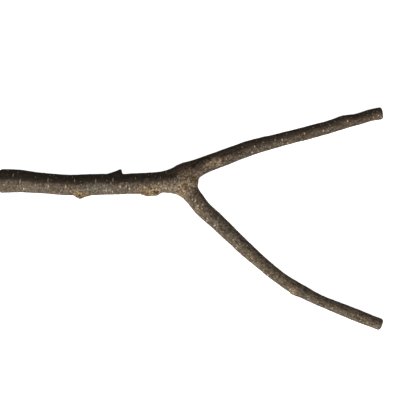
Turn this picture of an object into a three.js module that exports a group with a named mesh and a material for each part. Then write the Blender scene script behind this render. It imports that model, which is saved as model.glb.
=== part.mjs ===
import * as THREE from 'three'

// A fallen branch with one fork, lying on the ground: a thick stem that parts into two arms.
// Millimetres, +Z up. The branch is drawn round its fork and then moved, so that the origin
// is at the middle of its bounding box, on the ground.

// Stations along each limb's pith: x, y, height of the underside above the ground, diameter.
// The underside is below the ground by the depth of the flat worn where the branch bears.
const WORN = 0.35
const STEM = [
  [-187, -1, -WORN, 23.4],
  [-170, -1, -WORN, 22.5],
  [-158, -2, 0.1, 21],
  [-140, -3.5, 1.2, 20],
  [-118, -5, 2, 20],
  [-92, -4.5, 2.8, 20.6],
  [-62, -4, 4, 20],
  [-26, -2.3, 4.9, 19.7],
  [0, -1, 5.2, 19.4],
]
const UPPER_ARM = [
  [-17, -1, 6.5, 14.5],
  [-10, 3, 5.6, 17.4],
  [-3, 6, 4.3, 20.8],
  [6, 10, 6, 18.2],
  [19, 15.5, 7.8, 16],
  [42, 24, 9.3, 15.4],
  [64, 32, 9.7, 14.6],
  [88, 38.5, 9.5, 13],
  [122, 47.5, 7.2, 12.6],
  [145, 54, 5, 12.4],
  [157, 58, 3.3, 12.8],
  [169, 60.5, 2.5, 11],
  [184, 65, -WORN, 11.5],
  [196, 67.3, -WORN, 11.7],
]
const LOWER_ARM = [
  [-17, -1, 7.5, 14],
  [-10, -4.5, 7.2, 15.2],
  [-1.5, -9.3, 6.8, 15.8],
  [6.6, -16.9, 6.4, 16.6],
  [15.6, -28.2, 6.6, 16],
  [33.4, -44.7, 6.4, 15],
  [55, -65.5, 6.2, 13.8],
  [73, -81.5, 6, 12.6],
  [92, -97, 5, 12.3],
  [107, -107, 4, 12.6],
  [118, -113, 3.5, 11.8],
  [134, -121, 2.8, 10.6],
  [150, -127.5, 1.6, 11.2],
  [172, -136.5, 0.3, 11.8],
  [185, -141.6, -WORN, 11.4],
  [195.4, -145.5, -WORN, 11.4],
]

// Scars of lost twigs on the stem, each a lump or two: x, y, height of its middle, radius.
const LUMPS = [
  [-106, -10, 16.5, 8.2],
  [-100.5, -9.8, 15.5, 6.4],
  [-39, -9.2, 16.5, 6.9],
  [-32.5, -11.2, 16, 4.9],
]
// A broken twig leans along the stem towards the fork: its base and its tip, with radii.
const SPUR = [
  [-75.5, 3.5, 14, 3.4],
  [-68.4, 9.3, 13.9, 1.2],
]

const LIMB_BLEND = 2.4      // how widely the limbs flow into one another at the fork
const LUMP_BLEND = 0.6      // the same for the scars and the spur
const SEAM_GAP = 0.3        // clear gap between the three pieces where they meet at the fork
const EASED = 0.9           // the sawn ends' worn edge

// The fork's middle, and the compass headings (degrees from +X) of the three seams that part it.
const FORK = new THREE.Vector3(0, 0, 15)
const SEAM_ARMS = -13
const SEAM_UPPER = 102.5
const SEAM_LOWER = 248.5

// Ring spacing along a limb: wide on plain wood, close where scars, spur and nodes shape it.
const WIDE_STEP = 5.2
const CLOSE_STEP = 1.7
const FORK_RINGS = 5

const up = new THREE.Vector3(0, 0, 1)

function limbFrom(stations) {
  const pith = new THREE.CatmullRomCurve3(
    stations.map(([x, y, under, across]) => new THREE.Vector3(x, y, under + across / 2)),
    false, 'centripetal')
  const girth = new THREE.SplineCurve(
    stations.map(([, , , across], index) => new THREE.Vector2(index, across / 2)))
  pith.arcLengthDivisions = 800
  const samples = []
  const count = 240
  for (let i = 0; i <= count; i++) {
    const t = i / count
    samples.push({ point: pith.getPoint(t), radius: girth.getPoint(t).y })
  }
  return { pith, samples }
}

const limbs = {
  stem: limbFrom(STEM),
  upper_arm: limbFrom(UPPER_ARM),
  lower_arm: limbFrom(LOWER_ARM),
}

// Distance from a point to a tapered tube through the samples, less than zero inside it.
function toTube(point, samples) {
  const line = new THREE.Line3()
  const closest = new THREE.Vector3()
  let best = Infinity
  for (let i = 1; i < samples.length; i++) {
    const from = samples[i - 1]
    const to = samples[i]
    line.set(from.point, to.point)
    const along = line.closestPointToPointParameter(point, true)
    line.at(along, closest)
    const gap = closest.distanceTo(point) - THREE.MathUtils.lerp(from.radius, to.radius, along)
    best = Math.min(best, gap)
  }
  return best
}

function blend(distances, width) {
  const sum = distances.reduce((total, distance) => total + Math.exp(-distance / width), 0)
  return -width * Math.log(sum)
}

const asSample = ([x, y, z, radius]) => ({ point: new THREE.Vector3(x, y, z), radius })
const lumps = LUMPS.map(asSample)
const spur = SPUR.map(asSample)

// Signed distance to the whole branch's skin.
function toSkin(point) {
  const wood = blend(Object.values(limbs).map((limb) => toTube(point, limb.samples)), LIMB_BLEND)
  const grown = lumps.map((lump) => point.distanceTo(lump.point) - lump.radius)
  return blend([wood, toTube(point, spur), ...grown], LUMP_BLEND)
}

// Where a ray from inside the wood leaves it: steps out, then halves the last step.
function skinAlong(start, direction) {
  const stride = 0.7
  const at = (reach) => start.clone().addScaledVector(direction, reach)
  let outside = stride
  while (toSkin(at(outside)) < 0) outside += stride
  let inside = outside - stride
  for (let i = 0; i < 12; i++) {
    const middle = (inside + outside) / 2
    if (toSkin(at(middle)) < 0) inside = middle
    else outside = middle
  }
  return at(inside)
}

const heading = (degrees) => {
  const angle = THREE.MathUtils.degToRad(degrees)
  return new THREE.Vector3(Math.cos(angle), Math.sin(angle), 0)
}

// Distances of the rings along a limb of the given length, closer inside the fine stretches.
function ringPlaces(start, length, fine) {
  const places = []
  let place = start
  while (place < length - EASED - 0.6 * WIDE_STEP) {
    places.push(place)
    const isFine = fine.some(([from, to]) => place >= from && place < to)
    place += isFine ? CLOSE_STEP : WIDE_STEP
  }
  return [...places, length - EASED]
}

// One limb from the seam at the fork to its sawn end. Rings fan out from the wedge between its
// two seams until they stand square to the pith, then follow it.
function makeLimb({ limb, fromEnd, start, sides, leftSeam, rightSeam, fine, colour }) {
  const { pith } = limb
  const length = pith.getLength()
  const at = (place) => (fromEnd ? 1 - place / length : place / length)
  const towards = fromEnd ? -1 : 1
  const girthAt = (place) => {
    const index = pith.getUtoTmapping(at(place)) * (limb.samples.length - 1)
    return limb.samples[Math.round(index)].radius
  }

  const halfWedge = THREE.MathUtils.degToRad(leftSeam - rightSeam) / 2
  const apex = heading((leftSeam + rightSeam) / 2)
    .multiplyScalar(SEAM_GAP / 2 / Math.sin(halfWedge)).add(FORK)

  // Ray directions round a ring: side to side and up, as cosines and sines of the ring's angle.
  const angles = Array.from({ length: sides }, (_, i) => (i / sides) * 2 * Math.PI)
  const seamRay = (angle) => heading(Math.cos(angle) > 0 ? leftSeam : rightSeam)
    .multiplyScalar(Math.abs(Math.cos(angle))).addScaledVector(up, Math.sin(angle))
  const squareRay = (place, angle) => {
    const along = pith.getTangentAt(at(place)).multiplyScalar(towards)
    const left = new THREE.Vector3().crossVectors(up, along).normalize()
    const top = new THREE.Vector3().crossVectors(along, left)
    return left.multiplyScalar(Math.cos(angle)).addScaledVector(top, Math.sin(angle))
  }
  const onGround = (point) => {
    if (point.z < 0) point.z = 0
    return point
  }

  const rings = []
  const firstCentre = pith.getPointAt(at(start))
  for (let i = 0; i < FORK_RINGS; i++) {
    const share = i / FORK_RINGS
    const centre = apex.clone().lerp(firstCentre, share)
    rings.push(angles.map((angle) => {
      const ray = seamRay(angle).lerp(squareRay(start, angle), share).normalize()
      return onGround(skinAlong(centre, ray))
    }))
  }
  for (const place of ringPlaces(start, length, fine)) {
    const centre = pith.getPointAt(at(place))
    rings.push(angles.map((angle) => onGround(skinAlong(centre, squareRay(place, angle)))))
  }
  const endCentre = pith.getPointAt(at(length))
  const endRadius = girthAt(length) - EASED
  rings.push(angles.map((angle) => onGround(
    endCentre.clone().addScaledVector(squareRay(length, angle), endRadius))))

  return meshFrom(rings, apex, endCentre, colour)
}

// Skins the rings and closes both ends with fans from a middle point.
function meshFrom(rings, startPoint, endPoint, colour) {
  const sides = rings[0].length
  const vertices = rings.flat()
  const last = (rings.length - 1) * sides
  const startIndex = vertices.push(startPoint) - 1
  const endIndex = vertices.push(endPoint) - 1
  const faces = []
  for (let side = 0; side < sides; side++) {
    const next = (side + 1) % sides
    faces.push([startIndex, next, side])
    faces.push([endIndex, last + side, last + next])
    for (let row = 0; row < last; row += sides) {
      faces.push([row + side, row + next, row + sides + side])
      faces.push([row + next, row + sides + next, row + sides + side])
    }
  }
  const geometry = new THREE.BufferGeometry().setFromPoints(vertices)
  geometry.setIndex(faces.flat())
  geometry.computeVertexNormals()
  const bark = new THREE.MeshStandardMaterial({ color: colour, roughness: 0.8, metalness: 0 })
  return new THREE.Mesh(geometry, bark)
}

function makeStem() {
  const mesh = makeLimb({
    limb: limbs.stem,
    fromEnd: true,
    start: 19,
    sides: 28,
    leftSeam: SEAM_LOWER,
    rightSeam: SEAM_UPPER,
    fine: [[25, 48], [64, 80], [96, 118]],
    colour: 0x63574b,
  })
  mesh.name = 'stem'
  return mesh
}

function makeUpperArm() {
  const mesh = makeLimb({
    limb: limbs.upper_arm,
    fromEnd: false,
    start: 40,
    sides: 20,
    leftSeam: SEAM_UPPER,
    rightSeam: SEAM_ARMS,
    fine: [[176, 200]],
    colour: 0x6a5b4f,
  })
  mesh.name = 'upper_arm'
  return mesh
}

function makeLowerArm() {
  const mesh = makeLimb({
    limb: limbs.lower_arm,
    fromEnd: false,
    start: 43,
    sides: 20,
    leftSeam: 360 + SEAM_ARMS,
    rightSeam: SEAM_LOWER,
    fine: [[152, 178]],
    colour: 0x71634f,
  })
  mesh.name = 'lower_arm'
  return mesh
}

const group = new THREE.Group()
group.add(makeStem(), makeUpperArm(), makeLowerArm())

const box = new THREE.Box3().setFromObject(group)
const middle = box.getCenter(new THREE.Vector3())
group.position.set(-middle.x, -middle.y, -box.min.z)
group.updateMatrixWorld(true)

export default group
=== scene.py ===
import math
import bpy
import bmesh
import numpy as np
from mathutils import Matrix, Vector, noise


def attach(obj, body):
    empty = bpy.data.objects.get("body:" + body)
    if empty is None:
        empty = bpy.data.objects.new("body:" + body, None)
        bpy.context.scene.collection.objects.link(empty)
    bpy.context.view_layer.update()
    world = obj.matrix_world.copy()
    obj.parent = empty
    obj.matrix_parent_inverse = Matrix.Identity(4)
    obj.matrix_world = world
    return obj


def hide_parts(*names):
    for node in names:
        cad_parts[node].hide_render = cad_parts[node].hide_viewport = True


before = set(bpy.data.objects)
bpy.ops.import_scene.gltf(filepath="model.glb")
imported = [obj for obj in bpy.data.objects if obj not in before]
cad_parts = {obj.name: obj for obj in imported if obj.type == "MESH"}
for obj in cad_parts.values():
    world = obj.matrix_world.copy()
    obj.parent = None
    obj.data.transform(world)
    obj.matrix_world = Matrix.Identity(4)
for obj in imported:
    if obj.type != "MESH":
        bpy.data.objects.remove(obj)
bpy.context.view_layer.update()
mm = 0.001
luck = np.random.default_rng(11)
noise.seed_set(11)                  # else the ragged edges of the scales differ from run to run
print("frame loaded")


# The limbs are read off the frame, drawn finely and joined at the fork.

limbNames = ["upper_arm", "stem", "lower_arm"]      # counter-clockwise round the fork
columns = 144                                       # points round every limb, a multiple of 4
meshSettings = {
    "ringSpacing": 0.40 * mm,       # along a limb
    "fineSpacing": 0.26 * mm,       # the same where the spur stands
    "seamEase": 8 * mm,             # how far from the fork the limbs are pulled together
}


def unit(vectors):
    return vectors / np.maximum(np.linalg.norm(vectors, axis=-1, keepdims=True), 1e-12)


def smoothStep(low, high, value):
    t = np.clip((value - low) / (high - low), 0, 1)
    return t * t * (3 - 2 * t)


def limbFrame(centres):
    # directions along the limb, to its left and up, at each ring
    along = unit(np.gradient(centres, axis=0))
    left = unit(np.cross([0, 0, 1], along))
    return along, left, np.cross(along, left)


def readRings(name):
    # A CAD limb is a fan, rings and a fan, so a walk out from the fork's fan meets its rings in turn.
    solid = bmesh.new()
    solid.from_mesh(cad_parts[name].data)
    bmesh.ops.remove_doubles(solid, verts=solid.verts, dist=0.001 * mm)
    fans = sorted(solid.verts, key=lambda vertex: len(vertex.link_edges))[-2:]
    apex = min(fans, key=lambda vertex: abs(vertex.co.x))
    rings, seen, level = [], {apex}, {apex}
    while level:
        level = {edge.other_vert(vertex) for vertex in level for edge in vertex.link_edges} - seen
        seen |= level
        rings.append(np.array([vertex.co[:] for vertex in level]))
    solid.free()
    rings = rings[:-3]              # less the worn edge's ring, the cut's middle and the empty last level
    along, left, top = limbFrame(np.array([ring.mean(0) for ring in rings]))
    ordered = []
    for ring, side, upward in zip(rings, left, top):
        out = ring - ring.mean(0)
        turn = np.arctan2(out @ upward, out @ side)
        start = turn[np.argmin(np.abs(turn))] - 1e-4
        ordered.append(ring[np.argsort((turn - start) % (2 * math.pi))])
    return np.array(ordered)


def smoothCurve(values, knots, places):
    # a cubic through the values at the knots, read at other places
    slopes = np.gradient(values, knots, axis=0)
    i = np.clip(np.searchsorted(knots, places) - 1, 0, len(knots) - 2)
    width = (knots[i + 1] - knots[i]).reshape(-1, 1, 1)
    t = (places - knots[i]).reshape(-1, 1, 1) / width
    return ((1 + 2 * t) * (1 - t) ** 2 * values[i] + t * (1 - t) ** 2 * width * slopes[i]
            + t * t * (3 - 2 * t) * values[i + 1] + t * t * (t - 1) * width * slopes[i + 1])


def resampledRound(rings):
    sides = rings.shape[1]
    wrapped = np.concatenate([rings[:, -3:], rings, rings[:, :3]], axis=1).transpose(1, 0, 2)
    knots = np.arange(-3, sides + 3) / sides
    return smoothCurve(wrapped, knots, np.arange(columns) / columns).transpose(1, 0, 2)


def ringPlaces(length, fine):
    # distances from the fork, closer together in the fine stretch
    places = [0.0]
    while places[-1] < length:
        isFine = fine[0] < places[-1] < fine[1]
        places.append(places[-1] + meshSettings["fineSpacing" if isFine else "ringSpacing"])
    return np.array(places) * length / places[-1]


def readLimb(name, fine=(0, 0)):
    rings = resampledRound(readRings(name))
    centres = rings.mean(1)
    knots = np.concatenate([[0], np.cumsum(np.linalg.norm(np.diff(centres, axis=0), axis=1))])
    along = ringPlaces(knots[-1], fine)
    return {"grid": smoothCurve(rings, knots, along), "along": along}


def joinAtFork(limbs):
    # Each limb's left half ring at the fork is the next limb's right half ring.
    quarter, half = columns // 4, columns // 2
    left = np.arange(-quarter, quarter + 1) % columns
    right = (half - np.arange(-quarter, quarter + 1)) % columns
    first = {name: limbs[name]["grid"][0].copy() for name in limbNames}
    poles = [np.mean([first[name][turn] for name in limbNames], axis=0) for turn in (3 * quarter, quarter)]
    shared = {name: np.zeros(columns, int) for name in limbNames}
    points = list(poles)
    for k, name in enumerate(limbNames):
        following = limbNames[(k + 1) % 3]
        arc = (first[name][left] + first[following][right]) / 2
        indices = [0, *range(len(points), len(points) + len(arc) - 2), 1]
        points.extend(arc[1:-1])
        shared[name][left] = indices
        shared[following][right] = indices
    points = np.array(points)
    for name in limbNames:
        limb = limbs[name]
        pull = 1 - smoothStep(0, meshSettings["seamEase"], limb["along"])
        limb["grid"] = limb["grid"] + (points[shared[name]] - first[name]) * pull[:, None, None]
        own = np.arange(limb["grid"][1:, :, 0].size).reshape(-1, columns) + len(points)
        limb["index"] = np.vstack([shared[name], own])
        points = np.vstack([points, limb["grid"][1:].reshape(-1, 3)])
    return points


def quadsOf(index):
    near, far = index[:-1], index[1:]
    return np.stack([near, np.roll(near, -1, 1), np.roll(far, -1, 1), far], axis=-1).reshape(-1, 4)


def normalsOf(points, quads):
    a, b, c, d = (points[quads[:, corner]] for corner in range(4))
    across = np.cross(c - a, d - b)
    normals = np.zeros_like(points)
    for corner in range(4):
        np.add.at(normals, quads[:, corner], across)
    return unit(normals)


def relax(points, quads, weight, rounds):
    # evens out the skin where weight is over 0
    near = np.vstack([quads[:, [k, (k + 1) % 4]] for k in range(4)])
    near = near[(weight[near] > 0).any(1)]
    count = np.maximum(np.bincount(near[:, 0], minlength=len(points)), 1)[:, None]
    for _ in range(rounds):
        total = np.zeros_like(points)
        np.add.at(total, near[:, 0], points[near[:, 1]])
        points = points + (total / count - points) * weight[:, None]
    return points


limbs = {
    "upper_arm": readLimb("upper_arm"),
    "stem": readLimb("stem", fine=(62 * mm, 78 * mm)),
    "lower_arm": readLimb("lower_arm"),
}
skin = joinAtFork(limbs)
quads = np.vstack([quadsOf(limbs[name]["index"]) for name in limbNames])
print("skin drawn:", len(skin), "points")


# How the bark is shaped: everything from the fork's ridge down to the grain.

barkRelief = {                      # heights, and how far apart, along the limb by around it
    "fullness": 0.34 * mm,          # the bark stands this far outside the frame's skin
    "swells": (0.20 * mm, 15 * mm),
    "lumps": (0.12 * mm, 5.5 * mm),
    "grain": (0.05 * mm, 1.1 * mm),
    "wrinklesAlong": (0.09 * mm, (11 * mm, 1.5 * mm)),
    "wrinklesAcross": (0.055 * mm, (1.0 * mm, 6 * mm)),
    "patchiness": (0.6, 9 * mm),    # the wrinkles across come and go by this share, this far apart
    "lenticelRise": 0.24 * mm,
    "plainWindow": 22 * mm,         # a limb's plain girth is the middle one within this reach
    "fadeAtFork": (3 * mm, 15 * mm),
}
forkRelief = {
    "relaxReach": 9 * mm,           # the joined skin is evened out this close to the seams
    "relaxFull": 0.35,              # the share of that reach in which it is evened out most
    "relaxWeight": 0.5,
    "relaxRounds": 14,
    "seamsWithin": 45 * mm,         # all the seams' bark is this close to the fork's middle
    "ridgeWidth": 3.2 * mm,         # bark ridges stand where two limbs press together
    "ridgeRise": 0.55 * mm,
    "roughWidth": 6 * mm,
    "roughRise": 0.35 * mm,
    "roughSize": 3.4 * mm,
    "seamStrength": (0.35, 0.85, 1.0),      # upper arm to stem, stem to lower arm, arm to arm
}
flakes = {                          # rough bark is broken into scales, with cracks between them
    "size": 1.9 * mm,
    "leastMask": 0.02,              # bark less rough than this has none
    "crackDepth": 0.2 * mm,
    "crackWidth": 0.22,             # a share of a scale
    "raggedness": 0.45,
}
spurRelief = {                      # the broken twig leans to the fork and ends in a steep torn face
    "lean": 0.62,                   # how far each point moves along for each unit of its height
    "reach": (9 * mm, 42),          # along, and degrees around
    "fades": (0.6, 1),              # shares of that reach
}
knotRelief = {                      # the scars where twigs have dropped off
    "flatFrom": (28, 62),           # degrees around between which a scar's swelling dies away
    "flatTo": (120, 150),           # and comes back on the far side
    "flattening": 0.9,
    "leastSwell": 2.0 * mm,         # a swelling this high is a scar or the spur
    "apart": 8 * mm,
    "scarRadius": 1.7 * mm,
    "scarDepth": 0.9 * mm,
    "rimRadius": 3.3 * mm,
    "rimWidth": 0.9 * mm,
    "rimRise": 0.35 * mm,
    "foldSpacing": 1.5 * mm,
    "foldRise": 0.1 * mm,
    "foldWaver": (2, 3 * mm),       # radians, and how far apart
    "roughRise": 0.34 * mm,
    "roughSize": 2.2 * mm,
    "reach": (6.2 * mm, 5.5 * mm),  # along and around, of the rough bark on a scar
    "fades": (0.55, 1.15),          # shares of that reach
    "edgeWaver": (0.3, 4 * mm),     # another share, and how far apart
    "roughShare": 0.8,
    "pit": (0.9, 0.8),              # how dark the scar is, and how wide by its radius
}
leafScars = {                       # along, degrees around, rise, how far it fades out, width
    "stem": [(42 * mm, 5, 0.75 * mm, 14 * mm, 7 * mm)],
    "lower_arm": [(148 * mm, 165, 0.9 * mm, 13 * mm, 5 * mm), (42 * mm, 20, 0.3 * mm, 9 * mm, 4 * mm)],
    "upper_arm": [(118 * mm, 110, 0.3 * mm, 10 * mm, 4 * mm)],
}
leafScarStep = (-1.0 * mm, 0.4 * mm)    # from the foot of its step to the top


def ripples(places, size, seed):
    # smooth random heights, about -1 to 1; size is one ripple's length on each axis
    scaled = (places / size + 13.7 * seed).reshape(-1, 3).tolist()
    return 1.4 * np.array([noise.noise(place) for place in scaled]).reshape(places.shape[:-1])


def crests(places, size, seed):
    # sharp-topped folds, 0 to 1
    return 1 - np.minimum(np.abs(2.2 * ripples(places, size, seed)), 1)


def scales(points, mask):
    # how near a crack each point is, and a random shade for its scale, where the mask is over 0
    crack, shade = np.zeros(len(points)), np.full(len(points), 0.5)
    where = np.where(mask > flakes["leastMask"])[0]
    for i, place in zip(where, (points[where] / flakes["size"]).tolist()):
        distances, centres = noise.voronoi(Vector(place) + flakes["raggedness"] * noise.noise_vector(place))
        crack[i] = distances[1] - distances[0]
        shade[i] = noise.cell(centres[0] * 7.3)     # spread out, so that each scale has a cell of its own
    crack[where] = 1 - smoothStep(0, flakes["crackWidth"], crack[where])
    return crack, 0.5 + 0.5 * shade


def turnsFrom(limb, around):
    # each column's angle from a place, -180 to 180 degrees, in radians
    return (limb["turns"] - math.radians(around) + math.pi) % (2 * math.pi) - math.pi


def offsetsFrom(limb, along, around):
    # distances of every point from a place on the limb, along it and around it
    across = turnsFrom(limb, around)[None, :] * limb["plain"][:, None]
    return np.broadcast_to(limb["along"][:, None] - along, across.shape), across


def measure(limb):
    grid = limb["grid"]
    reach = np.linalg.norm(grid - grid.mean(1, keepdims=True), axis=-1)
    girth, along = reach.mean(1), limb["along"]
    near = np.abs(along[:, None] - along[None, :]) < barkRelief["plainWindow"]
    limb["plain"] = np.array([np.median(girth[row]) for row in near])
    limb["swell"] = reach - limb["plain"][:, None]
    limb["turns"] = np.arange(columns) * 2 * math.pi / columns
    circle = np.stack([np.cos(limb["turns"]), np.sin(limb["turns"])], axis=-1)
    along = np.broadcast_to(along[:, None, None], (*reach.shape, 1))
    limb["place"] = np.concatenate([along, limb["plain"][:, None, None] * circle], axis=-1)
    limb["fade"] = smoothStep(*barkRelief["fadeAtFork"], limb["along"])[:, None]
    limb["height"] = np.zeros(reach.shape)
    _, left, top = limbFrame(grid.mean(1))
    limb["facing"] = left[:, None, 1] * circle[None, :, 0] + top[:, None, 1] * circle[None, :, 1]


def findSwellings(limb):
    # the highest points of the limb's swellings, as (along, around in degrees)
    swell = np.where(limb["along"][:, None] > barkRelief["plainWindow"], limb["swell"], 0)
    found = []
    while swell.max() > knotRelief["leastSwell"]:
        row, column = np.unravel_index(swell.argmax(), swell.shape)
        found.append((limb["along"][row], math.degrees(limb["turns"][column])))
        swell[np.abs(limb["along"] - found[-1][0]) < knotRelief["apart"]] = 0
    return found


def relaxFork(points):
    weight = np.zeros(len(points))
    reach = forkRelief["relaxReach"]
    for name in limbNames:
        share = 1 - smoothStep(forkRelief["relaxFull"] * reach, reach, limbs[name]["along"])
        weight[limbs[name]["index"]] = forkRelief["relaxWeight"] * share[:, None]
    return relax(points, quads, weight, forkRelief["relaxRounds"])


def seamCloseness(points, width):
    # 1 on a seam and less away from it, with each seam's own strength
    quarter = columns // 4
    close = np.zeros(len(points))
    middle = points[:2].mean(0)
    near = np.where(np.linalg.norm(points - middle, axis=1) < forkRelief["seamsWithin"])[0]
    for name, strength in zip(limbNames, forkRelief["seamStrength"]):
        arc = points[limbs[name]["index"][0, np.arange(-quarter, quarter + 1) % columns]]
        apart = np.min([np.linalg.norm(points[near] - point, axis=1) for point in arc], axis=0)
        close[near] = np.maximum(close[near], strength * np.exp(-(apart / width) ** 2))
    return close


def settleKnots(limb):
    # the twigs grew out sideways, so the scars stand out at the stem's side and lie flat on its top
    turn = np.degrees(limb["turns"])[None, :]
    above = smoothStep(*knotRelief["flatFrom"], turn) * (1 - smoothStep(*knotRelief["flatTo"], turn))
    drop = knotRelief["flattening"] * np.maximum(limb["swell"], 0) * above * limb["fade"]
    skin[limb["index"]] -= skinNormals[limb["index"]] * drop[..., None]


def leanSpur(limb, along, around):
    # shears the spur towards the fork by its height, so that its far face is steep
    turn = np.abs(np.degrees(turnsFrom(limb, around)))[None, :]
    away = np.hypot((limb["along"][:, None] - along) / spurRelief["reach"][0], turn / spurRelief["reach"][1])
    near = 1 - smoothStep(*spurRelief["fades"], away)
    shift = spurRelief["lean"] * np.maximum(limb["swell"], 0) * near
    forward, _, _ = limbFrame(skin[limb["index"]].mean(1))
    skin[limb["index"]] -= forward[:, None] * shift[..., None]


def raiseLeafScar(limb, along, around, rise, fading, width):
    # a low step across the bark that fades away towards the limb's tip
    down, across = offsetsFrom(limb, along, around)
    step = smoothStep(*leafScarStep, down) * (1 - smoothStep(0, fading, down))
    limb["height"] += rise * step * np.exp(-(across / width) ** 2)


def shapeKnot(limb, along, around):
    # a sunken scar in a raised rim, with folds about it and rough bark over all
    down, across = offsetsFrom(limb, along, around)
    apart = np.hypot(down, across)
    near = np.hypot(down / knotRelief["reach"][0], across / knotRelief["reach"][1])
    waver, waverSize = knotRelief["edgeWaver"]
    mask = 1 - smoothStep(*knotRelief["fades"], near + waver * ripples(limb["place"], waverSize, 21))
    rough = crests(limb["place"], knotRelief["roughSize"], 22) - 0.5
    waver, waverSize = knotRelief["foldWaver"]
    turn = 2 * math.pi * apart / knotRelief["foldSpacing"]
    folds = np.sin(turn + waver * ripples(limb["place"], waverSize, 23))
    rim = np.exp(-((apart - knotRelief["rimRadius"]) / knotRelief["rimWidth"]) ** 2)
    limb["height"] += mask * (knotRelief["roughRise"] * rough + knotRelief["foldRise"] * folds)
    limb["height"] += knotRelief["rimRise"] * rim
    limb["height"] -= knotRelief["scarDepth"] * np.exp(-(apart / knotRelief["scarRadius"]) ** 2)
    limb["knot"] = np.maximum(limb["knot"], knotRelief["roughShare"] * mask)
    darkness, width = knotRelief["pit"]
    pit = darkness * np.exp(-(apart / (width * knotRelief["scarRadius"])) ** 2)
    limb["pit"] = np.maximum(limb["pit"], pit)


for name in limbNames:
    measure(limbs[name])
skin = relaxFork(skin)
swellings = findSwellings(limbs["stem"])
for along, around in swellings:
    if around > 90:
        leanSpur(limbs["stem"], along, around)
skinNormals = normalsOf(skin, quads)
settleKnots(limbs["stem"])
skinNormals = normalsOf(skin, quads)
print("swellings on the stem:", [(round(along / mm, 1), round(around)) for along, around in swellings])


# Lenticels: the breathing pores of cherry and alder bark, pale raised dashes set across the limb.

lenticelPlan = {                    # one to so much bark, and half-lengths around and half-widths along
    "stem": {"each": 42 * mm ** 2, "half": (0.7 * mm, 2.2 * mm), "width": (0.38 * mm, 0.7 * mm)},
    "upper_arm": {"each": 24 * mm ** 2, "half": (0.5 * mm, 1.1 * mm), "width": (0.4 * mm, 0.8 * mm)},
    "lower_arm": {"each": 23 * mm ** 2, "half": (0.5 * mm, 1.1 * mm), "width": (0.4 * mm, 0.8 * mm)},
}
lenticelScatter = {
    "clearOfFork": 5 * mm,
    "clearOfEnd": 2 * mm,
    "apart": 3 * mm,
    "radius": 10 * mm,              # about the stem's, to tell how far apart two are around a limb
    "paleness": (0.2, 1),
    "dulling": 1.4,                 # a power over 1, so that more are dull than pale
    "palest": 0.8,
}
lenticelShape = {
    "slantSpread": 0.1,             # few lie quite square to the limb
    "reach": (2, 1.3),              # it has ended this many half-widths along and half-lengths around
    "flatness": 1.1,                # over 1, so that its top is flat
    "pointedness": 1.4,
    "leastEnd": 0.02,
}
# The marked ones: millimetres along and degrees around, by kind.
lenticelKinds = {                   # length around, width along, paleness, and how far it may slant
    "long": (6.0 * mm, 1.3 * mm, 0.6, 0),
    "broad": (3.4 * mm, 1.8 * mm, 0.78, 0),
    "small": (2.5 * mm, 1.3 * mm, 0.55, 0),
    "slanting": (4.5 * mm, 1.0 * mm, 0.5, 0.6),
    "dot": (2.5 * mm, 2.1 * mm, 0.72, 0),
}
markedLenticels = {
    "stem": {
        "long": [(170, 120), (163, 90), (135, 110), (108, 115), (87, 110), (77, 55), (70, 115)],
        "broad": [(159, 50), (134, 75), (117, 80), (63, 75), (54, 60), (39, 65), (18, 55)],
        "small": [(179, 70), (147, 75), (129, 40), (101, 90), (95, 65), (76, 110), (60, 95), (46, 55),
                  (25, 85), (23, 115), (12, 55)],
        "slanting": [(123, 70), (121, 60), (115, 65), (49, 70), (46, 60)],
    },
    "upper_arm": {
        "dot": [(67, 130), (71, 90), (99, 95), (104, 140), (122, 90), (141, 110), (167, 90)],
        "small": [(44, 90), (54, 115), (80, 75), (86, 125), (105, 55), (132, 60), (149, 80), (155, 60),
                  (170, 125), (181, 40), (195, 80), (195, 115), (200, 70), (203, 130)],
    },
    "lower_arm": {
        "broad": [(17, 110), (22, 110), (24, 75), (47, 125)],
        "dot": [(38, 140), (78, 140), (119, 140), (145, 130)],
        "small": [(64, 105), (70, 105), (103, 105), (165, 125), (175, 110), (184, 130)],
    },
}


def addLenticel(limb, along, around, half, width, pale, slant=0):
    down, across = offsetsFrom(limb, along, around)
    down = down + (luck.choice([-slant, slant]) + luck.normal(0, lenticelShape["slantSpread"])) * across
    reachAlong, reachAround = lenticelShape["reach"]
    near = (np.abs(down) < reachAlong * width) & (np.abs(across) < reachAround * half)
    ends = np.clip(1 - (across[near] / half) ** 2, lenticelShape["leastEnd"], 1)
    narrowed = ends ** lenticelShape["pointedness"]
    lens = np.clip(lenticelShape["flatness"] - (down[near] / width) ** 2 / narrowed, 0, 1) * np.sqrt(ends)
    limb["lenticel"][near] = np.maximum(limb["lenticel"][near], pale * lens)
    limb["height"][near] += barkRelief["lenticelRise"] * lens * (0.5 + 0.5 * pale)


def scatterLenticels(name):
    limb, plan, scatter = limbs[name], lenticelPlan[name], lenticelScatter
    taken = []
    for kind, places in markedLenticels[name].items():
        length, width, pale, slant = lenticelKinds[kind]
        for along, around in places:
            addLenticel(limb, along * mm, around, length / 2, width / 2, pale, slant)
            taken.append((along * mm, around))
    skinArea = 2 * math.pi * limb["plain"].mean() * limb["along"][-1]
    for _ in range(int(skinArea / plan["each"])):
        along = luck.uniform(scatter["clearOfFork"], limb["along"][-1] - scatter["clearOfEnd"])
        around = luck.uniform(0, 360)
        half = luck.uniform(*plan["half"])
        width = luck.uniform(*plan["width"])
        pale = luck.uniform(*scatter["paleness"]) ** scatter["dulling"] * scatter["palest"]
        gaps = []
        for place, turn in taken:
            turned = math.radians((around - turn + 180) % 360 - 180)
            gaps.append(math.hypot(along - place, turned * scatter["radius"]))
        if min(gaps) > scatter["apart"]:
            addLenticel(limb, along, around, half, width, pale)
            taken.append((along, around))


for name in limbNames:
    for mark in ("lenticel", "knot", "pit"):
        limbs[name][mark] = np.zeros(limbs[name]["swell"].shape)
    scatterLenticels(name)
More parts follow.
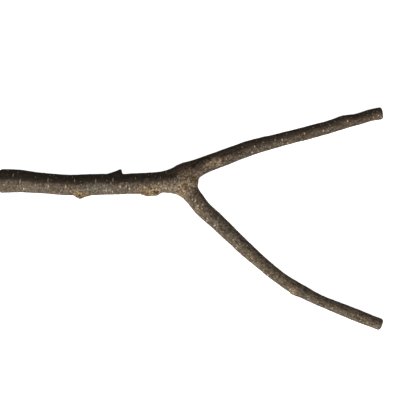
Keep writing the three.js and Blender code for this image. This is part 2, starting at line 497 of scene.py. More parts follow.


# Weathered and stained patches: limb, millimetres along, degrees around, length along
# and width around in millimetres, and strength.

patches = {
    "pale": [
        ("stem", 10, 60, 30, 16, 0.5), ("upper_arm", 5, 120, 12, 10, 0.6),
        ("lower_arm", 5, 140, 8, 12, 0.5), ("lower_arm", 195, 115, 30, 6, 0.25),
    ],
    # patches where the painted shade is kept off the bark
    "dry": [
        ("stem", 65, 150, 10, 5, 0.3), ("stem", 15, 140, 15, 8, 0.3), ("stem", 36, 105, 4, 5, 0.85),
        ("stem", 140, 95, 60, 4, 0.2), ("stem", 80, 100, 70, 4, 0.2), ("stem", 20, 100, 20, 5, 0.35),
    ],
    "scar": [("stem", along / mm, 35, 14, 13, 1.0) for along, around in swellings if around < 90],
    "silver": [
        ("stem", 85, 65, 36, 12, 0.75), ("stem", 150, 55, 40, 12, 0.35), ("stem", 15, 60, 16, 9, 0.45),
        ("lower_arm", 162, 105, 10, 6, 0.6), ("lower_arm", 60, 100, 40, 9, 0.25),
    ],
    "tan": [
        ("upper_arm", 29, 90, 22, 9, 0.85), ("stem", 130, 20, 20, 8, 0.3),
        ("lower_arm", 150, 125, 10, 4, 0.7), ("lower_arm", 25, 135, 10, 6, 0.5),
        ("upper_arm", 170, 100, 20, 10, 0.3), ("upper_arm", 8, 120, 10, 9, 0.45),
        ("lower_arm", 95, 140, 30, 5, 0.3), ("stem", 10, 20, 16, 8, 0.5),
    ],
    "rust": [
        ("upper_arm", 5, 50, 16, 8, 0.8), ("upper_arm", 10, 65, 12, 8, 0.6),
        ("upper_arm", 22, 70, 10, 6, 0.85), ("upper_arm", 4, 95, 9, 9, 0.55),
        ("upper_arm", 60, 80, 40, 8, 0.25), ("upper_arm", 190, 85, 40, 12, 0.5),
        ("lower_arm", 10, 60, 12, 8, 0.5), ("lower_arm", 30, 95, 8, 5, 0.5),
        ("lower_arm", 78, 140, 4, 3, 0.6), ("lower_arm", 103, 105, 4, 3, 0.5),
        ("lower_arm", 145, 130, 4, 3, 0.6), ("lower_arm", 176, 95, 30, 5, 0.3),
        ("stem", 36, 105, 4, 5, 1.0), ("stem", 112, 35, 4, 4, 0.9), ("stem", 140, 100, 30, 4, 0.3),
        ("stem", 50, 95, 40, 4, 0.35), ("stem", 65, 150, 8, 5, 0.7), ("stem", 5, 130, 10, 8, 0.6),
    ],
    "moss": [
        ("lower_arm", 90, 105, 90, 9, 0.3), ("lower_arm", 180, 100, 50, 7, 0.3),
        ("upper_arm", 70, 90, 50, 8, 0.3), ("upper_arm", 15, 70, 6, 6, 1.0),
        ("lower_arm", 5, 65, 6, 5, 0.8), ("lower_arm", 162, 100, 8, 6, 0.45),
        ("stem", 92, 70, 16, 7, 0.45), ("upper_arm", 165, 25, 30, 7, 0.6),
        ("stem", 172, 120, 30, 12, 0.4), ("stem", 60, 130, 40, 9, 0.4),
        ("lower_arm", 20, 20, 40, 6, 0.4),
    ],
    "dark": [
        ("upper_arm", 9, 50, 6, 2, 1.0), ("upper_arm", 1, 80, 3, 3, 0.6),
        ("upper_arm", 25, 65, 4, 3, 0.7), ("upper_arm", 50, 75, 45, 2.5, 0.55),
        ("upper_arm", 90, 65, 35, 2.5, 0.45), ("upper_arm", 135, 65, 30, 2, 0.4),
        ("upper_arm", 176, 60, 10, 7, 0.5), ("upper_arm", 188, 75, 26, 5, 0.45),
        ("upper_arm", 20, 45, 20, 3, 0.6), ("lower_arm", 4, 90, 5, 3, 0.5),
        ("lower_arm", 16, 40, 14, 4, 0.35), ("lower_arm", 158, 70, 5, 4, 0.6),
        ("stem", 3, 100, 6, 6, 0.55), ("stem", 11, 120, 12, 6, 0.5), ("stem", 35, 125, 12, 3, 0.5),
        ("stem", 33, 55, 3, 2, 0.6), ("stem", 27, 30, 3, 3, 0.7), ("stem", 35, 15, 3, 3, 0.7),
        ("stem", 40, 30, 2, 2, 0.6), ("stem", 102, 25, 8, 2, 0.6), ("stem", 112, 35, 2, 2, 0.9),
    ],
}
# The patches that only keep the painted shade off and the tan ones, which only make the bark flake, aren't
# colours.
stains = [kind for kind in patches if kind not in ("dry", "tan")]
patchEdge = {
    "fades": (0.5, 1.35),           # shares of the patch's half-length and half-width
    "broadWaver": (0.5, 3.2 * mm),  # more such shares, and how far apart
    "fineWaver": (0.4, 1.3 * mm),
}


def stainPatches(kind, seed):
    broad, broadSize = patchEdge["broadWaver"]
    fine, fineSize = patchEdge["fineWaver"]
    for name in limbNames:
        place = limbs[name]["place"]
        limbs[name][kind] = np.zeros(limbs[name]["swell"].shape)
        limbs[name]["raggedness"] = (broad * ripples(place, broadSize, seed)
                                     + fine * ripples(place, fineSize, seed + 1))
    for name, along, around, length, width, strength in patches[kind]:
        limb = limbs[name]
        down, across = offsetsFrom(limb, along * mm, around)
        away = np.hypot(down / (length * mm / 2), across / (width * mm / 2))
        patch = strength * (1 - smoothStep(*patchEdge["fades"], away + limb["raggedness"]))
        limb[kind] = np.maximum(limb[kind], patch)


for seed, kind in enumerate(patches):
    stainPatches(kind, 40 + 2 * seed)
for along, around in swellings:
    if around < 90:
        shapeKnot(limbs["stem"], along, around)
for name, scars in leafScars.items():
    for scar in scars:
        raiseLeafScar(limbs[name], *scar)
for name in limbNames:
    limbs[name]["scar"] = np.maximum(limbs[name]["scar"], limbs[name]["knot"])
print("lenticels, stains and scars placed")


def skinHeights():
    swells, lumps, grain = barkRelief["swells"], barkRelief["lumps"], barkRelief["grain"]
    height = barkRelief["fullness"] + swells[0] * ripples(skin, swells[1], 1)
    height += lumps[0] * ripples(skin, lumps[1], 2)
    height += grain[0] * ripples(skin, grain[1], 3)
    share, size = barkRelief["patchiness"]
    patchy = share + share * ripples(skin, size, 4)
    ridge = seamCloseness(skin, forkRelief["ridgeWidth"])
    rough = seamCloseness(skin, forkRelief["roughWidth"])
    height += forkRelief["ridgeRise"] * ridge
    height += forkRelief["roughRise"] * rough * (crests(skin, forkRelief["roughSize"], 5) - 0.5)
    scaly = rough.copy()
    for name in limbNames:
        index = limbs[name]["index"]
        own = np.maximum(limbs[name]["scar"], limbs[name]["tan"]) * limbs[name]["fade"]
        scaly[index] = np.maximum(scaly[index], own)
    crack, shade = scales(skin, scaly)
    height -= flakes["crackDepth"] * crack * scaly
    for name in limbNames:
        limb = limbs[name]
        rise, (long, short) = barkRelief["wrinklesAlong"]
        own = rise * ripples(limb["place"], np.array([long, short, short]), 6)
        rise, (short, long) = barkRelief["wrinklesAcross"]
        own += rise * ripples(limb["place"], np.array([short, long, long]), 7) * patchy[limb["index"]]
        height[limb["index"]] += limb["fade"] * (own + limb["height"])
    return height, {"scaly": scaly, "crack": crack, "shade": shade}


heights, skinMarks = skinHeights()
skin = skin + skinNormals * heights[:, None]
skin[:, 2] = np.maximum(skin[:, 2], 0)
barkNormals = normalsOf(skin, quads)
print("bark shaped")


# The limbs as pieces, each closed at the fork and at its sawn end.

sawnEnd = {
    "setBack": 0.9 * mm,            # from the last ring of the skin to the cut
    "easedEdge": {"stem": 2.3 * mm, "upper_arm": 2.2 * mm, "lower_arm": 2.6 * mm},
    "easedRings": 6,
    "faceRings": 24,
    "squareTo": 7,                  # the cut is square to this many of the skin's last ring gaps
    "barkWidth": 0.3 * mm,          # of the bark that stands round the cut
    "barkStep": (0.14 * mm, 0.35 * mm),     # the wood has shrunk this far below the bark, over this width
    "sawMarks": (0.05 * mm, (30 * mm, 1.2 * mm, 9 * mm)),
    "checks": 3,                    # drying cracks that run out from the pith
    "checkReach": (0.35, 0.95),     # shares of the way to the edge
    "checkDepth": 0.35 * mm,
    "checkWidth": 0.35 * mm,
    "growthRing": 1.15 * mm,
}


def closeSawnEnd(name, rings):
    # rings that turn over the eased edge and cross the cut to its middle
    setBack, eased = sawnEnd["setBack"], sawnEnd["easedEdge"][name]
    centre = rings[-1].mean(0)
    axis = unit(centre - rings[-1 - sawnEnd["squareTo"]].mean(0))

    def pulledIn(ring, toCut):
        # a ring that stands toCut from the cut, drawn in by the eased edge's quarter round
        out = ring - ring.mean(0)
        out = out - (out @ axis)[:, None] * axis
        depth = eased - math.sqrt(eased ** 2 - max(eased - toCut, 0) ** 2)
        return ring - unit(out) * depth

    toCuts = [setBack + limbs[name]["along"][-1] - place for place in limbs[name]["along"]]
    rings = np.array([pulledIn(ring, toCut) for ring, toCut in zip(rings, toCuts)])
    drawnIn = eased - math.sqrt(eased ** 2 - (eased - setBack) ** 2)
    outline = rings[-1] + unit(rings[-1] - centre) * drawnIn
    extra = []
    start = math.asin(1 - setBack / eased)
    for step in range(1, sawnEnd["easedRings"] + 1):
        turn = start + (math.pi / 2 - start) * step / sawnEnd["easedRings"]
        toCut = eased * (1 - math.sin(turn))
        extra.append(pulledIn(outline, toCut) + axis * (setBack - toCut))
    edge, faceCentre = extra[-1], centre + axis * setBack
    radius = np.linalg.norm(edge - faceCentre, axis=1)
    turns = np.arange(columns) * 2 * math.pi / columns
    cracks = luck.uniform(0, 2 * math.pi, sawnEnd["checks"])
    reaches = luck.uniform(*sawnEnd["checkReach"], sawnEnd["checks"])
    sawRise, sawSize = sawnEnd["sawMarks"]
    stepDepth, stepWidth = sawnEnd["barkStep"]
    for step in range(1, sawnEnd["faceRings"]):
        share = 1 - step / sawnEnd["faceRings"]
        flat = faceCentre + (edge - faceCentre) * share
        depth = sawRise * ripples(flat, np.array(sawSize), 31)
        wood = smoothStep(0, stepWidth, radius * (1 - share) - sawnEnd["barkWidth"])
        depth = depth - wood * stepDepth
        for crack, reach in zip(cracks, reaches):
            across = np.abs((turns - crack + math.pi) % (2 * math.pi) - math.pi) * radius * share
            depth = depth - (sawnEnd["checkDepth"] * np.exp(-(across / sawnEnd["checkWidth"]) ** 2)
                             * wood * (share < reach))
        extra.append(flat + axis * depth[:, None])
    return np.concatenate([rings, extra]), faceCentre, len(rings) + sawnEnd["easedRings"]


def loopNormals(piece, normals, flatFaces):
    # one normal for each face corner: the skin's own, so the seams don't show, and flat on flat faces
    corners = np.empty(len(piece.loops), int)
    piece.loops.foreach_get("vertex_index", corners)
    result = normals[corners]
    for face in flatFaces:
        polygon = piece.polygons[face]
        result[polygon.loop_start:polygon.loop_start + polygon.loop_total] = polygon.normal
    return result


# How much painted shade darkens each limb's +Y side, and how pale and freckled its bark is.

paintedShadeSides = {                      # the normal's Y at which the painted shade begins and is full, and its strength
    "stem": ((-0.10, 0.13), 1.0),
    "upper_arm": ((-0.25, 0.15), 0.56),
    "lower_arm": ((0.3, 0.95), 0.45),
    "fork": ((0.05, 0.6), 0.65),
}
paintedShadeDrift = {                       # how far the painted shade's edge wanders, and how far apart
    "broad": (0.10, (22 * mm, 9 * mm, 9 * mm)),
    "fine": (0.05, 2 * mm),
}
barkManner = {                      # tone, and how freckled and how lined across
    "stem": {"tone": 0.95, "freckled": 0.15, "lined": 0.85},
    "upper_arm": {"tone": 0.66, "freckled": 0.35, "lined": 0.15},
    "lower_arm": {"tone": 1.0, "freckled": 0.12, "lined": 0.15},
}
freckledNearFork = (8 * mm, 30 * mm)    # wholly freckled up to the first, and as its limb is past the second


def paintedShadeOf(limb, edge, strength):
    # how much painted shade darkens the bark: most on the side that faces +Y, away from the key light, most
    # of all on the stem
    fade, (forkEdge, forkStrength) = limb["fade"], paintedShadeSides["fork"]
    facing = fade * limb["facing"] + (1 - fade) * skinNormals[limb["index"]][..., 1]
    broad, broadSize = paintedShadeDrift["broad"]
    fine, fineSize = paintedShadeDrift["fine"]
    drift = (broad * ripples(limb["place"], np.array(broadSize), 51)
             + fine * ripples(limb["place"], fineSize, 52))
    low, high = (fade * edge[side] + (1 - fade) * forkEdge[side] for side in (0, 1))
    most = fade * strength + (1 - fade) * forkStrength
    inPaintedShade = smoothStep(low, high, facing + drift * fade) * most
    return inPaintedShade * (1 - limb["dry"])


def marksOf(name):
    limb, manner = limbs[name], barkManner[name]
    everywhere = np.ones(limb["swell"].shape)
    nearFork = 1 - smoothStep(*freckledNearFork, limb["along"])[:, None]
    freckled = manner["freckled"] + (1 - manner["freckled"]) * nearFork
    marks = {kind: limb[kind] for kind in ("lenticel", "pit", *stains)}
    for kind, values in skinMarks.items():
        marks[kind] = values[limb["index"]]
    marks["tone"] = (1 + (manner["tone"] - 1) * limb["fade"]) * everywhere
    marks["lined"] = manner["lined"] * everywhere
    marks["freckled"] = np.maximum(freckled, limb["scar"])
    marks["fade"] = limb["fade"] * everywhere
    # painted shade on the side that faces +Y
    marks["paintedShade"] = paintedShadeOf(limb, *paintedShadeSides[name])
    return marks


def setMark(mesh, kind, values, rows):
    # a mark on the skin, carried over the sawn end by its last ring
    spread = np.vstack([values, np.repeat(values[-1:], rows - len(values), axis=0)])
    spread = np.append(spread.ravel(), [values[-1].mean(), values[0].mean()])
    mesh.attributes.new(kind, "FLOAT", "POINT").data.foreach_set("value", spread)


def setPlaces(mesh, limb, rings):
    # each point's place on the limb, run on over the sawn end, and its distance from the pith there
    skinRows = len(limb["place"])
    place = np.concatenate([limb["place"], np.repeat(limb["place"][-1:], len(rings) - skinRows, axis=0)])
    overEdge = np.linalg.norm(np.diff(rings[skinRows - 1:], axis=0), axis=-1).mean(1)
    place[skinRows:, :, 0] += np.cumsum(overEdge)[:, None]
    place = np.vstack([place.reshape(-1, 3), place[-1, :2]])
    mesh.attributes.new("limbPlace", "FLOAT_VECTOR", "POINT").data.foreach_set("vector", place.ravel())
    fromPith = np.linalg.norm(rings - rings[-1].mean(0), axis=-1)
    fromPith = np.append(fromPith.ravel(), [0, 0])
    mesh.attributes.new("fromPith", "FLOAT", "POINT").data.foreach_set("value", fromPith)


def limbMesh(name, rings, faceCentre):
    # quads between the rings, then a fan on the middle of the cut and one on the middle of the fork's face
    limb = limbs[name]
    count = rings[..., 0].size
    index = np.arange(count).reshape(-1, columns)
    points = np.vstack([rings.reshape(-1, 3), faceCentre, rings[0].mean(0)])
    skinQuads = quadsOf(index)
    following = np.roll(np.arange(columns), -1)
    endFan = np.stack([index[-1], index[-1][following], np.full(columns, count)], axis=-1)
    forkFan = np.stack([index[0][following], index[0], np.full(columns, count + 1)], axis=-1)
    mesh = bpy.data.meshes.new(name + "_bark")
    mesh.from_pydata(points.tolist(), [], skinQuads.tolist() + endFan.tolist() + forkFan.tolist())
    mesh.update()

    normals = np.vstack([normalsOf(points[:count], skinQuads), np.zeros((2, 3))])
    normals[index[:len(limb["index"]) - 1]] = barkNormals[limb["index"][:-1]]
    normals[count] = normals[index[-1]].mean(0)
    forkFaces = range(len(skinQuads) + columns, len(skinQuads) + 2 * columns)
    mesh.polygons.foreach_set("use_smooth", [True] * len(mesh.polygons))
    mesh.normals_split_custom_set(loopNormals(mesh, normals, forkFaces).tolist())
    return mesh


def makeLimb(name):
    limb = limbs[name]
    rings, faceCentre, faceStart = closeSawnEnd(name, skin[limb["index"]])
    mesh = limbMesh(name, rings, faceCentre)
    onWood = np.zeros(len(mesh.polygons), int)
    onWood[faceStart * columns:len(rings) * columns] = 1
    mesh.polygons.foreach_set("material_index", onWood)
    for kind, values in marksOf(name).items():
        setMark(mesh, kind, values, len(rings))
    setPlaces(mesh, limb, rings)

    piece = bpy.data.objects.new(name + "_bark", mesh)
    bpy.context.scene.collection.objects.link(piece)
    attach(piece, "root")
    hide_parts(name)
    return piece


pieces = [makeLimb(name) for name in limbNames]
print("pieces made:", [(piece.name, len(piece.data.polygons)) for piece in pieces])


# Materials: the bark and the sawn ends. A layer's numbers say from where to where in its pattern the
# colour comes in, and the most that it covers of what lies under it.

def colour(hexCode):
    # an sRGB hex value as linear red, green, blue and alpha
    parts = [int(hexCode[i:i + 2], 16) / 255 for i in (1, 3, 5)]
    return (*[part / 12.92 if part <= 0.04045 else ((part + 0.055) / 1.055) ** 2.4 for part in parts], 1)


def addNode(tree, kind, inputs=None, **settings):
    # adds a node with its settings; an input is a value, a socket, or a node for its first live output
    node = tree.nodes.new(kind)
    for key, value in settings.items():
        setattr(node, key, value)
    for key, value in (inputs or {}).items():
        if isinstance(value, bpy.types.Node):
            value = next(socket for socket in value.outputs if socket.enabled)
        if isinstance(value, bpy.types.NodeSocket):
            tree.links.new(value, node.inputs[key])
        else:
            node.inputs[key].default_value = value
    return node


def newMaterial(name):
    material = bpy.data.materials.new(name)
    material.use_nodes = True
    material.node_tree.nodes.clear()
    return material, material.node_tree


def layered(tree, base, layers):
    # lays colours over a base; a layer covers from none to its most as its pattern goes from low to high
    for pattern, low, high, most, tint, blend in layers:
        cover = addNode(tree, "ShaderNodeMapRange", {
            "Value": pattern, "From Min": low, "From Max": high, "To Max": most},
            interpolation_type="SMOOTHSTEP")
        base = addNode(tree, "ShaderNodeMix", {0: cover, 6: base, 7: tint},
                       data_type="RGBA", blend_type=blend)
    return base


barkLook = {                        # colours in sRGB
    "bark": "#7d6e5a",
    "barkBrown": "#685747",
    "barkDark": "#352b21",
    "barkPale": "#ac9d84",
    "silver": "#8f8b80",
    "pale": "#a99780",
    "rust": "#5f3f35",
    "moss": "#50573d",
    "dark": "#241d17",
    # the next two are the bark's colours under the painted shade on its +Y side
    "inPaintedShade": "#2a281b",
    "inPaintedShadeBrown": "#403125",
    "lenticel": "#beab90",
    # the lenticels' colour under the painted shade
    "lenticelInPaintedShade": "#b3a48b",
    "scale": "#937f60",
    "scalePale": "#c0ab84",
    "scaleDark": "#5a4934",
    "knot": "#947a52",
    "crack": "#3d3022",
    "fleckRed": "#8a6450",
    "fleckGreen": "#6b705a",
    "frecklePale": "#b09d82",
    "freckleDark": "#32281f",
    "freckleRed": "#7d5546",
    "shadows": "#b4b2ae",           # these two darken what they cover
    "growthLine": "#a8a5a0",
    "mottleSize": 5 * mm,
    "blotchSize": 2.6 * mm,
    # the size of the patches within the painted shade
    "paintedShadePatchSize": 3.5 * mm,
    "speckSize": 1.1 * mm,
    "grainSize": 0.45 * mm,
    "freckleSize": 1.8 * mm,
    "fleckSize": (0.9 * mm, 1.8 * mm),      # along and around: flecks of lichen and dirt
    "streakSize": (0.75 * mm, 4.5 * mm),    # growth lines across the limb
    "fibreSize": (8 * mm, 1.3 * mm),        # the grain of the wood showing through along it
    "noGrowth": 0.5,                # growth lines and fibres fade to this even value at the fork
    "grainHeight": 0.2 * mm,
    "grainStrength": 0.7,
    "growthHeight": 0.7,            # of the growth lines, for 1 of the grain
    "roughness": (0.72, 0.2),       # the least, and how much more its specks have
    "specular": 0.35,
    "ior": 1.45,
}


def barkPatterns(tree):
    # what the colours follow: the marks set on the skin, and grain too fine for its points
    look = barkLook
    here = addNode(tree, "ShaderNodeTexCoord").outputs["Object"]
    place = addNode(tree, "ShaderNodeAttribute", attribute_name="limbPlace").outputs["Vector"]
    patterns = {}
    for kind in ("lenticel", "pit", "fade", "tone", "lined", "paintedShade", "scaly", "crack", "shade",
                 "freckled", *stains):
        patterns[kind] = addNode(tree, "ShaderNodeAttribute", attribute_name=kind).outputs["Fac"]
    for kind in ("mottle", "blotch", "paintedShadePatch", "speck", "grain"):
        patterns[kind] = addNode(tree, "ShaderNodeTexNoise", {
            "Vector": here, "Scale": 1 / look[kind + "Size"], "Detail": 3.0, "Roughness": 0.6})
    stretched = {}
    for kind in ("fleck", "streak", "fibre"):
        along, around = look[kind + "Size"]
        stretched[kind] = addNode(tree, "ShaderNodeVectorMath", {
            0: place, 1: (1 / along, 1 / around, 1 / around)}, operation="MULTIPLY")
    for kind in ("streak", "fibre"):
        patterns[kind] = addNode(tree, "ShaderNodeTexNoise", {
            "Vector": stretched[kind], "Scale": 1.0, "Detail": 3.0})
    growth = addNode(tree, "ShaderNodeMix", {
        0: patterns["lined"], 2: patterns["fibre"], 3: patterns["streak"]}, data_type="FLOAT")
    patterns["growth"] = addNode(tree, "ShaderNodeMix", {
        0: patterns["fade"], 2: look["noGrowth"], 3: growth}, data_type="FLOAT")
    flecks = addNode(tree, "ShaderNodeTexNoise", {
        "Vector": stretched["fleck"], "Scale": 1.0, "Detail": 2.0, "Roughness": 0.6}).outputs["Color"]
    freckles = addNode(tree, "ShaderNodeTexNoise", {
        "Vector": here, "Scale": 1 / look["freckleSize"], "Detail": 3.0, "Roughness": 0.65}).outputs["Color"]
    patterns["fleck"] = addNode(tree, "ShaderNodeSeparateColor", {"Color": flecks}).outputs
    patterns["freckle"] = addNode(tree, "ShaderNodeSeparateColor", {"Color": freckles}).outputs
    return patterns


def soundBark(tree, patterns, tints):
    tone = addNode(tree, "ShaderNodeCombineColor", {axis: patterns["tone"] for axis in (0, 1, 2)})
    return layered(tree, tints["bark"], [
        (patterns["mottle"], 0.35, 0.65, 1.0, tints["barkBrown"], "MIX"),
        (patterns["speck"], 0.5, 0.68, 0.5, tints["barkDark"], "MIX"),
        (patterns["speck"], 0.75, 0.35, patterns["silver"], tints["silver"], "MIX"),
        (patterns["moss"], 0.0, 1.0, 0.8, tints["moss"], "MIX"),
        (patterns["rust"], 0.0, 1.0, 0.85, tints["rust"], "MIX"),
        (patterns["pale"], 0.0, 1.0, 0.75, tints["pale"], "MIX"),
        (patterns["fleck"][2], 0.58, 0.68, 0.5, tints["fleckRed"], "MIX"),
        (patterns["fleck"][2], 0.42, 0.32, 0.45, tints["fleckGreen"], "MIX"),
        (patterns["blotch"], 0.62, 0.38, 1.0, tints["shadows"], "MULTIPLY"),
        (patterns["fleck"][0], 0.55, 0.68, 0.6, tints["barkPale"], "MIX"),
        (patterns["fleck"][1], 0.55, 0.68, 0.5, tints["barkDark"], "MIX"),
        (patterns["growth"], 0.52, 0.32, 1.0, tints["growthLine"], "MULTIPLY"),
        (patterns["growth"], 0.56, 0.78, 0.3, tints["barkPale"], "MIX"),
        (patterns["tone"], 0.0, 0.1, 1.0, tone, "MULTIPLY"),
    ])


def scalyBark(tree, patterns, tints):
    return layered(tree, tints["scaleDark"], [
        (patterns["shade"], 0.15, 0.65, 1.0, tints["scale"], "MIX"),
        (patterns["scar"], 0.3, 1.0, 0.75, tints["knot"], "MIX"),
        (patterns["shade"], 0.75, 0.95, 1.0, tints["scalePale"], "MIX"),
        (patterns["speck"], 0.5, 0.68, 0.6, tints["scaleDark"], "MIX"),
    ])


# the bark's colour under the painted shade, browner where that shade is weaker
def paintedShadeBark(tree, patterns, tints):
    return layered(tree, tints["inPaintedShade"], [
        (patterns["paintedShadePatch"], 0.42, 0.66, 0.9, tints["inPaintedShadeBrown"], "MIX"),
        (patterns["paintedShade"], 1.0, 0.7, 0.8, tints["inPaintedShadeBrown"], "MIX"),
        (patterns["fleck"][0], 0.58, 0.7, 0.4, tints["barkBrown"], "MIX"),
        (patterns["streak"], 0.6, 0.75, 0.4, tints["barkBrown"], "MIX"),
    ])


def barkWeatheredWithPaintedShade():
    # Cherry or alder bark, grown and then dried outdoors: matt, grey-brown and thin, crossed by
    # growth lines and pale corky lenticels, silvery where it is sound and tan where it is broken.
    # Its side that faces +Y is darkened with painted shade.
    look = barkLook
    tints = {key: colour(value) for key, value in look.items() if str(value).startswith("#")}
    material, tree = newMaterial("barkWeatheredWithPaintedShade")
    patterns = barkPatterns(tree)
    sound = soundBark(tree, patterns, tints)
    scaly = scalyBark(tree, patterns, tints)
    inPaintedShade = paintedShadeBark(tree, patterns, tints)
    # the lenticels take a darker colour under the painted shade
    pores = layered(tree, tints["lenticel"], [
        (patterns["paintedShade"], 0.0, 1.0, 1.0, tints["lenticelInPaintedShade"], "MIX")])
    scalyEdge = addNode(tree, "ShaderNodeMath", {
        0: patterns["speck"], 1: 0.5, 2: patterns["scaly"]}, operation="MULTIPLY_ADD")
    cracked = addNode(tree, "ShaderNodeMath", {
        0: patterns["crack"], 1: patterns["scaly"]}, operation="MULTIPLY")
    poreEdge = addNode(tree, "ShaderNodeMath", {
        0: patterns["grain"], 1: 0.5, 2: patterns["lenticel"]}, operation="MULTIPLY_ADD")
    poreEdge = addNode(tree, "ShaderNodeMath", {
        0: patterns["fleck"][1], 1: -0.5, 2: poreEdge}, operation="MULTIPLY_ADD")
    darkest = addNode(tree, "ShaderNodeMath", {
        0: patterns["dark"], 1: patterns["pit"]}, operation="MAXIMUM")
    whole = layered(tree, sound, [
        (scalyEdge, 0.45, 0.85, 1.0, scaly, "MIX"),
        (cracked, 0.15, 1.0, 0.7, tints["crack"], "MIX"),
        (patterns["freckle"][0], 0.55, 0.66, patterns["freckled"], tints["frecklePale"], "MIX"),
        (patterns["freckle"][1], 0.53, 0.62, patterns["freckled"], tints["freckleDark"], "MIX"),
        (patterns["freckle"][2], 0.57, 0.68, patterns["freckled"], tints["freckleRed"], "MIX"),
        # the painted shade over the side that faces +Y
        (patterns["paintedShade"], 0.0, 1.0, 0.96, inPaintedShade, "MIX"),
        (poreEdge, 0.1, 0.75, 1.0, pores, "MIX"),
        (darkest, 0.0, 1.0, 1.0, tints["dark"], "MIX"),
    ])

    relief = addNode(tree, "ShaderNodeMath", {0: patterns["grain"], 1: patterns["speck"]}, operation="ADD")
    relief = addNode(tree, "ShaderNodeMath", {
        0: patterns["growth"], 1: look["growthHeight"], 2: relief}, operation="MULTIPLY_ADD")
    bump = addNode(tree, "ShaderNodeBump", {
        "Strength": look["grainStrength"], "Distance": look["grainHeight"], "Height": relief})
    least, more = look["roughness"]
    dullness = addNode(tree, "ShaderNodeMath", {
        0: patterns["speck"], 1: more, 2: least}, operation="MULTIPLY_ADD")
    shader = addNode(tree, "ShaderNodeBsdfPrincipled", {
        "Base Color": whole, "Roughness": dullness, "IOR": look["ior"],
        "Specular IOR Level": look["specular"], "Normal": bump})
    addNode(tree, "ShaderNodeOutputMaterial", {"Surface": shader})
    return material


endLook = {                         # colours in sRGB
    "earlyWood": "#bb9f78",
    "lateWood": "#927452",
    "pith": "#5b4430",
    "grime": "#4a4034",
    "grimeSize": 3 * mm,
    "poreSize": 0.5 * mm,
    "waverSize": 4 * mm,            # how evenly the growth rings run
    "pithRadius": (0.4 * mm, 0.9 * mm),     # its soft edge
    "poreDepth": 0.1 * mm,
    "poreStrength": 0.6,
    "roughness": 0.8,
    "ior": 1.5,
}


def sawnWood():
    # Sawn end grain, left outdoors: growth rings gone grey-brown, a dark pith and grime in the pores.
    look = endLook
    material, tree = newMaterial("sawnEndGrain")
    here = addNode(tree, "ShaderNodeTexCoord").outputs["Object"]
    pith = addNode(tree, "ShaderNodeAttribute", attribute_name="fromPith").outputs["Fac"]
    grains = {}
    for kind in ("waver", "pore", "grime"):
        grains[kind] = addNode(tree, "ShaderNodeTexNoise", {
            "Vector": here, "Scale": 1 / look[kind + "Size"], "Detail": 3.0})
    rings = addNode(tree, "ShaderNodeMath", {
        0: pith, 1: 1 / sawnEnd["growthRing"], 2: grains["waver"]}, operation="MULTIPLY_ADD")
    share = addNode(tree, "ShaderNodeMath", {0: rings}, operation="FRACT")
    pithInner, pithOuter = look["pithRadius"]
    wood = layered(tree, colour(look["earlyWood"]), [
        (share, 0.2, 1.0, 1.0, colour(look["lateWood"]), "MIX"),
        (grains["grime"], 0.48, 0.75, 1.0, colour(look["grime"]), "MIX"),
        (pith, pithOuter, pithInner, 1.0, colour(look["pith"]), "MIX"),
    ])
    bump = addNode(tree, "ShaderNodeBump", {
        "Strength": look["poreStrength"], "Distance": look["poreDepth"], "Height": grains["pore"]})
    shader = addNode(tree, "ShaderNodeBsdfPrincipled", {
        "Base Color": wood, "Roughness": look["roughness"], "IOR": look["ior"], "Normal": bump})
    addNode(tree, "ShaderNodeOutputMaterial", {"Surface": shader})
    return material


bark, endGrain = barkWeatheredWithPaintedShade(), sawnWood()
for piece in pieces:
    piece.data.materials.append(bark)
    piece.data.materials.append(endGrain)
print("materials made")


# The studio: a white floor, one broad soft light low on the -Y side, a little fill, and a camera above.

studio = {
    "floorRadius": 6.0,
    "floorSides": 64,
    "floorDrop": 0.02 * mm,         # just under the branch, so that the two don't flicker
    "floor": "#f4f4f4",
    "floorGlow": 0.93,
    "keyStrength": 3.5,
    "keyAngle": 48,                 # degrees across, so its shadows are soft
    "keyHeight": 29,                # degrees above the ground
    "keyTurn": 20,                  # degrees from -Y towards -X
    "sideStrength": 0.6,            # a weak soft light from +X
    "sideAngle": 60,
    "sideHeight": 25,
    "sideTurn": 90,
    "fill": 0.21,
    "backdrop": 0.97,
    "cameraAim": (8.10 * mm, 18.82 * mm),
    "cameraLevel": 10 * mm,         # the view is 400 mm across at this level
    "cameraDistance": 1111 * mm,
    "cameraLens": 100,
}


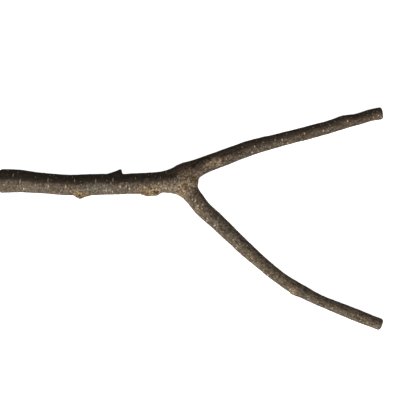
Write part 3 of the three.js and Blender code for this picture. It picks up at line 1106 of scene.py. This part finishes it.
def makeFloor():
    mesh = bpy.data.meshes.new("floor")
    rim = [(studio["floorRadius"] * math.cos(turn), studio["floorRadius"] * math.sin(turn), 0)
           for turn in np.arange(studio["floorSides"]) * 2 * math.pi / studio["floorSides"]]
    mesh.from_pydata(rim, [], [range(studio["floorSides"])])
    material, tree = newMaterial("paintedFloor")
    paint = addNode(tree, "ShaderNodeBsdfDiffuse", {"Color": colour(studio["floor"])})
    glow = addNode(tree, "ShaderNodeEmission", {
        "Color": colour("#ffffff"), "Strength": studio["floorGlow"]})
    both = addNode(tree, "ShaderNodeAddShader", {0: paint, 1: glow})
    addNode(tree, "ShaderNodeOutputMaterial", {"Surface": both})
    mesh.materials.append(material)
    floor = bpy.data.objects.new("floor", mesh)
    floor.location.z = -studio["floorDrop"]
    floor.visible_diffuse = False
    floor.visible_glossy = False
    bpy.context.scene.collection.objects.link(floor)


def makeWorld():
    world = bpy.data.worlds.new("studio")
    world.use_nodes = True
    tree = world.node_tree
    tree.nodes.clear()
    seen = addNode(tree, "ShaderNodeLightPath").outputs["Is Camera Ray"]
    strength = addNode(tree, "ShaderNodeMapRange", {
        "Value": seen, "To Min": studio["fill"], "To Max": studio["backdrop"]})
    sky = addNode(tree, "ShaderNodeBackground", {"Color": colour("#ffffff"), "Strength": strength})
    addNode(tree, "ShaderNodeOutputWorld", {"Surface": sky})
    bpy.context.scene.world = world


def makeLight(name, strength, angle, height, turn):
    # a sun shines down its own -Z, so it is tipped up from that; with no turn it stands on the -Y side
    light = bpy.data.lights.new(name, "SUN")
    light.energy = strength
    light.angle = math.radians(angle)
    lamp = bpy.data.objects.new(name, light)
    lamp.rotation_euler = (math.radians(90 - height), 0, math.radians(turn))
    bpy.context.scene.collection.objects.link(lamp)


def makeCamera():
    lens = bpy.data.cameras.new("camera")
    lens.lens = studio["cameraLens"]
    lens.clip_end = 100
    camera = bpy.data.objects.new("camera", lens)
    camera.location = (*studio["cameraAim"], studio["cameraLevel"] + studio["cameraDistance"])
    bpy.context.scene.collection.objects.link(camera)
    bpy.context.scene.camera = camera


makeFloor()
makeWorld()
makeLight("keyLight", studio["keyStrength"], studio["keyAngle"], studio["keyHeight"], -studio["keyTurn"])
makeLight("sideLight", studio["sideStrength"], studio["sideAngle"], studio["sideHeight"], studio["sideTurn"])
makeCamera()
bpy.context.scene.view_settings.view_transform = "Standard"
print("studio set")
